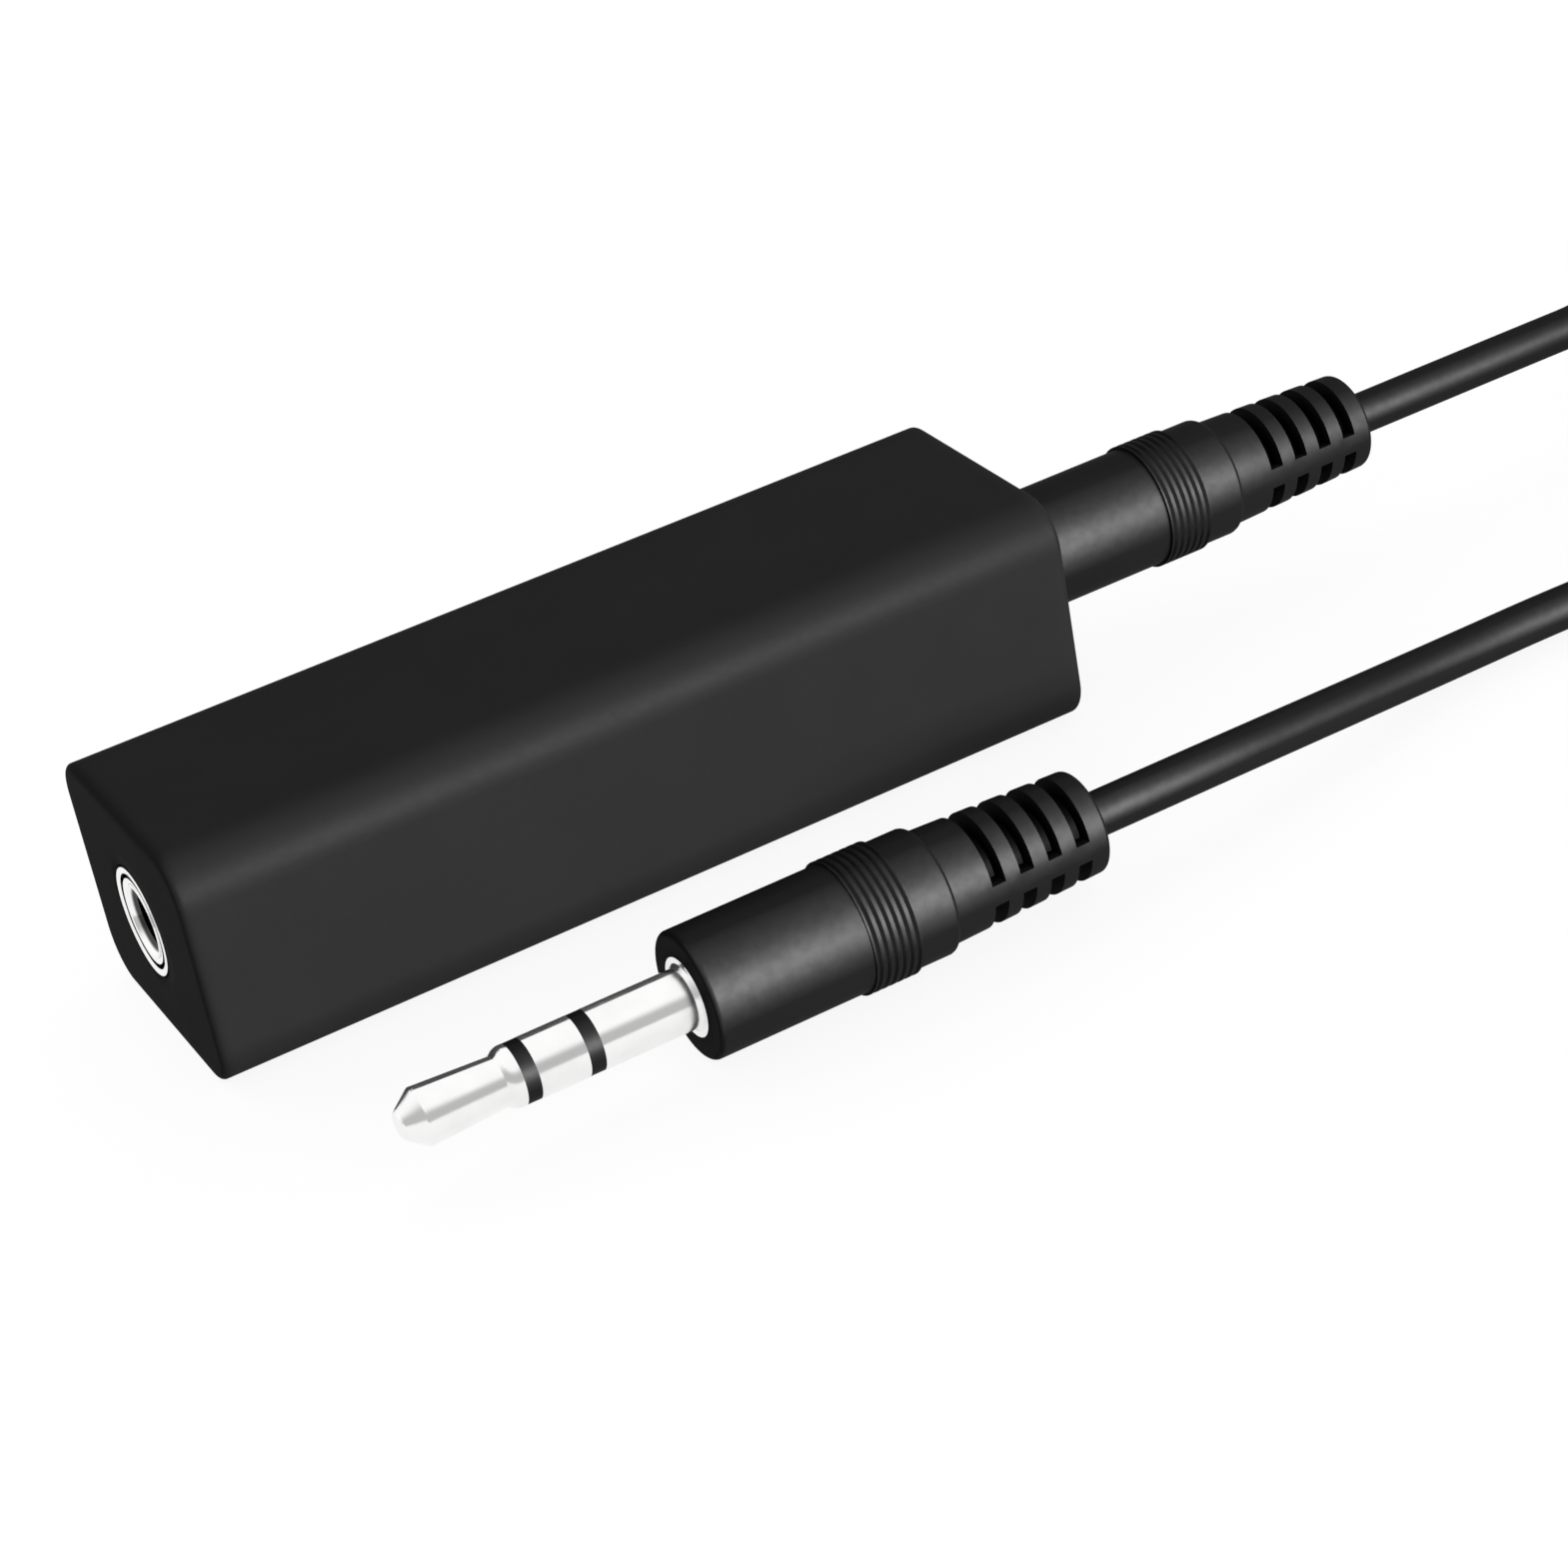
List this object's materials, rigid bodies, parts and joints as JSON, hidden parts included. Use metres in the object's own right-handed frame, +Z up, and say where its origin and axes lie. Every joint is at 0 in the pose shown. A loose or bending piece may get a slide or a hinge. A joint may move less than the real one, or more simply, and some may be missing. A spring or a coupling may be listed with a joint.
{
  "type": "ground loop isolator",
  "caption": "Small black box with a 3.5 mm stereo socket in each end and isolating transformers inside, with a plug-to-plug audio lead fitted to one socket.",
  "frame": {"origin": "middle of the underside of the box", "axes": "+X along the box from the empty socket to the one with the plug in it, +Y to the back, +Z up"},
  "size_m": [0.1428, 0.0452, 0.0144],
  "materials": {
    "housing": "fine satin moulding",
    "board": "solder mask",
    "socket_plastic": "moulded nylon",
    "nickel": "polished nickel plate",
    "tinned": "tinned bronze strip",
    "core_steel": "stacked laminations",
    "bobbin_plastic": "moulded nylon",
    "copper_wire": "enamelled copper",
    "insulator": "polished band",
    "grip": "satin soft moulding",
    "cord": "satin jacket"
  },
  "bodies": {
    "root": {"housing_shell": "housing", "bottom_cover": "housing", "circuit_board": "board", "socket_block_left": "socket_plastic", "sleeve_contact_left": "nickel", "socket_bezel_left": "nickel", "tip_spring_left": "tinned", "ring_spring_left": "tinned", "socket_block_right": "socket_plastic", "sleeve_contact_right": "nickel", "socket_bezel_right": "nickel", "tip_spring_right": "tinned", "ring_spring_right": "tinned", "e_core_left": "core_steel", "i_core_left": "core_steel", "bobbin_left": "bobbin_plastic", "primary_winding_left": "copper_wire", "secondary_winding_left": "copper_wire", "transformer_pins_left": "tinned", "e_core_right": "core_steel", "i_core_right": "core_steel", "bobbin_right": "bobbin_plastic", "primary_winding_right": "copper_wire", "secondary_winding_right": "copper_wire", "transformer_pins_right": "tinned", "fitted_plug_tip": "nickel", "fitted_plug_front_insulator": "insulator", "fitted_plug_ring": "nickel", "fitted_plug_rear_insulator": "insulator", "fitted_plug_sleeve": "nickel", "fitted_plug_grip": "grip", "free_plug_tip": "nickel", "free_plug_front_insulator": "insulator", "free_plug_ring": "nickel", "free_plug_rear_insulator": "insulator", "free_plug_sleeve": "nickel", "free_plug_grip": "grip", "cord_lead": "cord", "cord_coil": "cord", "cord_tail": "cord"}
  },
  "joints": []
}
